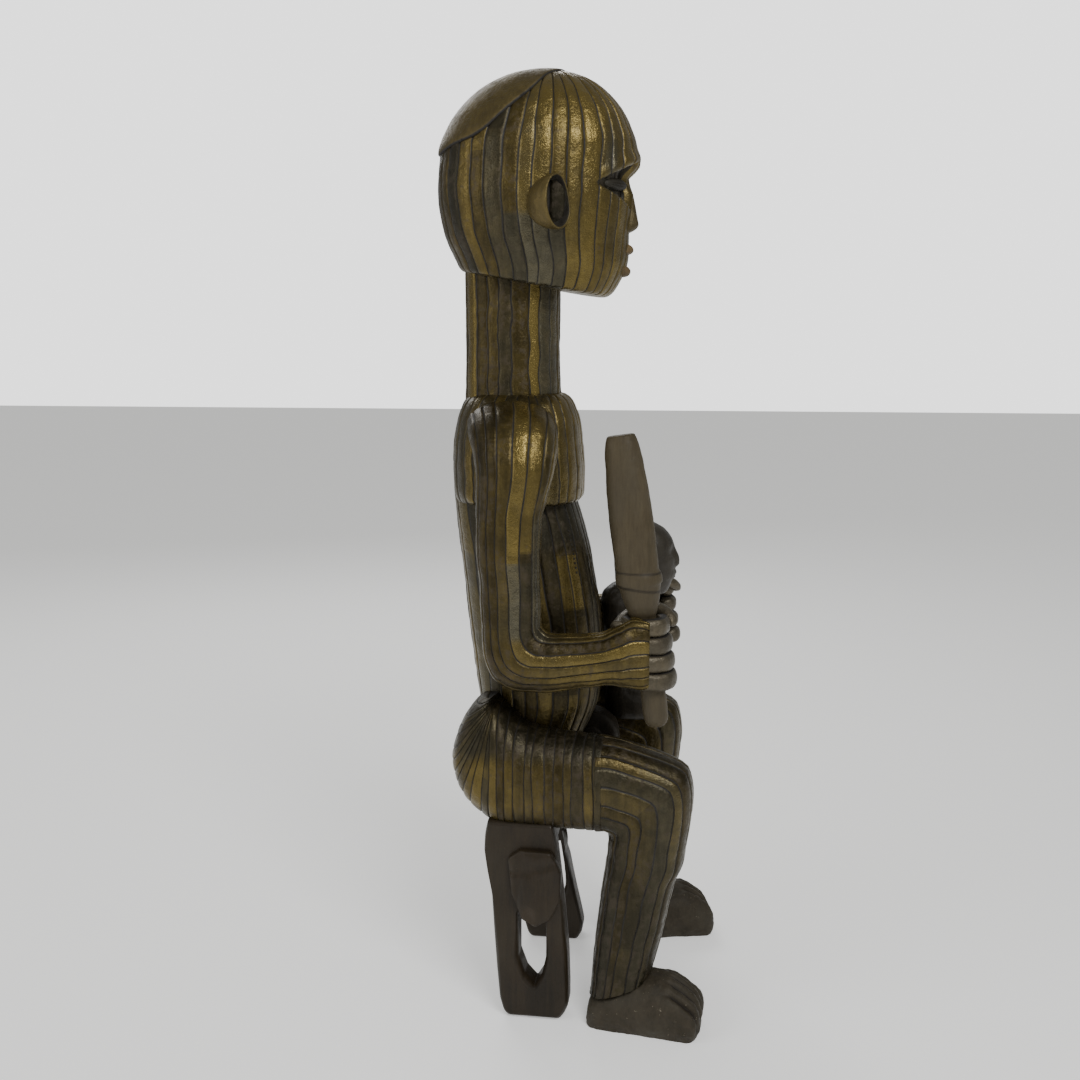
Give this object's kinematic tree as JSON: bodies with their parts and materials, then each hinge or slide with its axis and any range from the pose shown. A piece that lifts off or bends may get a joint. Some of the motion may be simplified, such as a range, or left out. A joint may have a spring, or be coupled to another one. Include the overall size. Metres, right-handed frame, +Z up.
{
  "type": "seated figure carving",
  "caption": "Seated wooden figure clad in narrow metal strips, on a low arched stool, holding a club and a small child figure.",
  "frame": {"origin": "on the floor, under the middle of the whole figure's plan", "axes": "+X is the way the figure faces, +Y its left side, +Z up"},
  "size_m": [0.3088, 0.3052, 1],
  "materials": {
    "strip_brass": "narrow hammered strips, brown-gold, tarnished unevenly",
    "hammered_brass": "hammered sheet, brown-gold, worn",
    "hand_metal": "thin sheet pressed over the fingers, grey-gold",
    "nail_metal": "small dark round heads",
    "club_wood": "bare fibrous brown wood",
    "stool_wood": "smooth handled brown wood",
    "foot_wood": "rough brown wood with pale specks",
    "child_wood": "dark grey-brown polished wood",
    "dark_wood": "dark polished wood",
    "core_wood": "carved wood under the metal"
  },
  "bodies": {
    "root": {"belly_strips": "strip_brass", "chest_strips": "strip_brass", "child_body": "child_wood", "child_head": "child_wood", "crown_cap": "hammered_brass", "face_strips": "strip_brass", "head_core": "core_wood", "hip_core": "core_wood", "lap_boss": "dark_wood", "left_arm_core": "core_wood", "left_buttock_rings": "strip_brass", "left_ear": "hammered_brass", "left_elbow_cap": "strip_brass", "left_eye": "dark_wood", "left_fingers": "hand_metal", "left_foot": "foot_wood", "left_forearm_strips": "strip_brass", "left_knee_cap": "strip_brass", "left_leg_core": "core_wood", "left_palm": "core_wood", "left_shin_strips": "strip_brass", "left_temple_strips": "strip_brass", "left_thigh_rings": "strip_brass", "left_upper_arm_strips": "strip_brass", "lower_back_strips": "strip_brass", "lower_lip": "dark_wood", "nails": "nail_metal", "nape_strips": "strip_brass", "neck_core": "core_wood", "neck_strips": "strip_brass", "nose_ridge": "dark_wood", "right_arm_core": "core_wood", "right_buttock_rings": "strip_brass", "right_ear": "hammered_brass", "right_elbow_cap": "strip_brass", "right_eye": "dark_wood", "right_fingers": "hand_metal", "right_foot": "foot_wood", "right_forearm_strips": "strip_brass", "right_knee_cap": "strip_brass", "right_leg_core": "core_wood", "right_palm": "core_wood", "right_shin_strips": "strip_brass", "right_temple_strips": "strip_brass", "right_thigh_rings": "strip_brass", "right_upper_arm_strips": "strip_brass", "stool": "stool_wood", "stool_left_boss": "stool_wood", "stool_right_boss": "stool_wood", "torso_core": "core_wood", "upper_back_strips": "strip_brass", "upper_lip": "dark_wood"},
    "club": {"club": "club_wood"}
  },
  "joints": [
    {"name": "club_lift", "type": "slide", "parent": "root", "child": "club", "axis": [-0.1357, 0, 0.9907], "range_m": [0, 0.11]}
  ]
}
